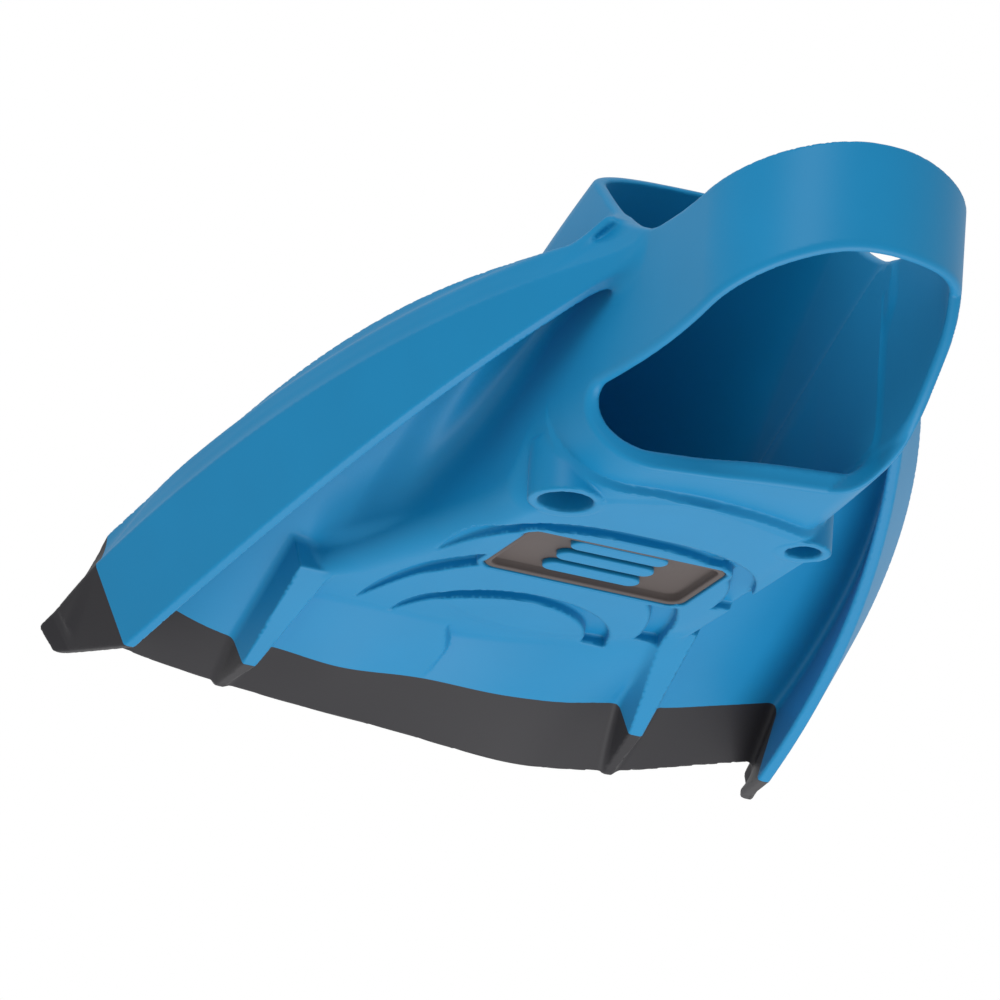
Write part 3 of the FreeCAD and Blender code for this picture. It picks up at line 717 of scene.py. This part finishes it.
def rounded_tray():
    """The dark tray: a raised rim round a flat recess, with round corners."""
    half = (INSERT_HIGH - INSERT_LOW) / 2
    centre = (INSERT_HIGH + INSERT_LOW) / 2
    loops = []
    for inset, height, corner in TRAY_RINGS:
        loop = []
        for quarter in range(4):
            sx = 1 if quarter in (0, 3) else -1
            sy = 1 if quarter < 2 else -1
            for step in range(CORNER_STEPS + 1):
                turn = math.radians(90 * quarter + 90 * step / CORNER_STEPS)
                x = centre[0] + sx * (half[0] - inset - corner) + corner * math.cos(turn)
                y = centre[1] + sy * (half[1] - inset - corner) + corner * math.sin(turn)
                loop.append((x, y, height))
        loops.append(loop)
    return lofted("insert_tray", loops)


def grip_bar(name, y):
    """One bar with round ends and soft edges, standing down from the tray's floor."""
    half_length = (BARS_HIGH[0] - BARS_LOW[0]) / 2
    centre = (BARS_HIGH[0] + BARS_LOW[0]) / 2
    loops = []
    for inset, height in BAR_RINGS:
        reach = BAR_RADIUS - inset
        loop = []
        for end in (1, -1):
            for step in range(END_STEPS + 1):
                turn = math.radians(-90 + 180 * step / END_STEPS)
                x = centre + end * (half_length - BAR_RADIUS + reach * math.cos(turn))
                loop.append((x, y + end * reach * math.sin(turn), height))
        loops.append(loop)
    return lofted(name, loops)


# ------------------------------------------------------------------- pieces

def bend(piece):
    """Bake the piece's placement into its mesh."""
    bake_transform(piece)


def moulded_skin():
    """The moulded skin as three pieces, cut at the heel band and where the dark tip starts."""
    whole = object_from("whole", *skin_mesh())
    body = soften(slice_off(whole, "fin_body", HEEL_CUT, SEAM))
    heel = soften(slice_off(whole, "heel_band", None, HEEL_CUT))
    tip = soften(slice_off(whole, "dark_tip", SEAM, None))
    bpy.data.objects.remove(whole)
    paint(body, BLUE)
    paint(heel, BLUE)
    paint(tip, DARK)
    bend(body)
    bend(heel)
    bend(tip)
    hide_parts("foot_pocket", "sole_pad", "tether_ring_left", "tether_ring_right", "rail_left",
                "rail_right", "blade_panel", "blade_rib_left", "blade_rib_right")
    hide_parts("heel_strap")
    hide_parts("blade_tip")


def sole_insert():
    """The tray in the sole and its three bars."""
    tray = paint(rounded_tray(), TRAY)
    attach(tray, "foot")
    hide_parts("sole_insert")
    middle = (BARS_LOW[1] + BARS_HIGH[1]) / 2
    for number in (1, 2, 3):
        bar = paint(grip_bar(f"grip_bar_{number}", middle + (number - 2) * BAR_PITCH), BLUE)
        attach(bar, "foot")
        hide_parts("grip_bars")


moulded_skin()
sole_insert()


# -------------------------------------------------------- light and camera

AZIMUTH, ELEVATION, ROLL = math.radians(-24), math.radians(-20), math.radians(3.5)
LENS = 1500.0                       # a very long lens, in millimetres, so almost no perspective
SENSOR = 36.0
DISTANCE = 11.466
AIM_RIGHT, AIM_UP = 0.0146, 0.1696  # the aim's place beside and above the toe crease, in widths of the fin


def place_camera():
    """The camera, low behind the fin's left side and looking up at its sole."""
    forward = Vector((-math.sin(AZIMUTH) * math.cos(ELEVATION), math.cos(AZIMUTH) * math.cos(ELEVATION),
                      -math.sin(ELEVATION)))
    right = Vector((math.cos(AZIMUTH), math.sin(AZIMUTH), 0))
    up = right.cross(forward)
    span = CAD_HIGH[0] - CAD_LOW[0]
    aim = Vector(CREASE / MM) + right * AIM_RIGHT * span + up * AIM_UP * span
    # Turning the camera the other way rolls what it sees clockwise.
    rolled_up = up * math.cos(ROLL) - right * math.sin(ROLL)
    rolled_right = right * math.cos(ROLL) + up * math.sin(ROLL)
    data = bpy.data.cameras.new("camera")
    data.lens = LENS
    data.sensor_width = SENSOR
    data.clip_end = 60
    camera = linked("camera", data)
    turn = Matrix((rolled_right, rolled_up, -forward)).transposed()
    camera.matrix_world = Matrix.Translation(aim - forward * DISTANCE) @ turn.to_4x4()
    bpy.context.scene.camera = camera


def area_light(name, place, aim, size, power):
    """A round soft light at one place, turned towards another."""
    data = bpy.data.lights.new(name, "AREA")
    data.shape = "DISK"
    data.size = size
    data.energy = power
    light = linked(name, data)
    light.location = place
    light.rotation_mode = "QUATERNION"
    light.rotation_quaternion = (Vector(place) - Vector(aim)).to_track_quat("Z", "Y")


def white_world(strength):
    """A plain white world that lights the fin less than it shows behind it."""
    world = bpy.data.worlds.new("world")
    bpy.context.scene.world = world
    world.use_nodes = True
    nodes, links = world.node_tree.nodes, world.node_tree.links
    back = nodes["Background"]
    back.inputs["Color"].default_value = (1, 1, 1, 1)
    path = nodes.new("ShaderNodeLightPath")
    seen = nodes.new("ShaderNodeMapRange")
    seen.inputs["To Min"].default_value = strength
    seen.inputs["To Max"].default_value = 1.0
    links.new(path.outputs["Is Camera Ray"], seen.inputs["Value"])
    links.new(seen.outputs["Result"], back.inputs["Strength"])


FLOOR_RADIUS = 3.0
FLOOR_GAP = 0.0005


def pale_floor():
    """A pale floor that only shows from above, because the camera looks up from below it."""
    bm = bmesh.new()
    bmesh.ops.create_circle(bm, cap_ends=True, segments=96, radius=FLOOR_RADIUS)
    mesh = bpy.data.meshes.new("floor")
    bm.to_mesh(mesh)
    bm.free()
    floor = linked("floor", mesh)
    floor.location.z = CAD_LOW.z - FLOOR_GAP
    material = bpy.data.materials.new("floor")
    material.use_nodes = True
    nodes, links = material.node_tree.nodes, material.node_tree.links
    shader = nodes["Principled BSDF"]
    shader.inputs["Base Color"].default_value = (0.9, 0.9, 0.9, 1)
    shader.inputs["Roughness"].default_value = 0.8
    clear = nodes.new("ShaderNodeBsdfTransparent")
    side = nodes.new("ShaderNodeNewGeometry")
    path = nodes.new("ShaderNodeLightPath")
    above = nodes.new("ShaderNodeMath")
    above.operation = "SUBTRACT"
    links.new(path.outputs["Is Camera Ray"], above.inputs[0])
    links.new(side.outputs["Backfacing"], above.inputs[1])
    above.use_clamp = True
    choose = nodes.new("ShaderNodeMixShader")
    links.new(above.outputs["Value"], choose.inputs["Fac"])
    links.new(clear.outputs["BSDF"], choose.inputs[1])
    links.new(shader.outputs["BSDF"], choose.inputs[2])
    links.new(choose.outputs["Shader"], nodes["Material Output"].inputs["Surface"])
    floor.data.materials.append(material)


place_camera()
bpy.context.scene.view_settings.view_transform = "Standard"
white_world(0.66)
pale_floor()
area_light("key", place=(0.3, 0.1, -1.1), aim=(0, 0.05, 0.03), size=0.8, power=8)
area_light("fill", place=(-0.7, -0.9, 0.5), aim=(0, 0, 0.05), size=0.7, power=5)
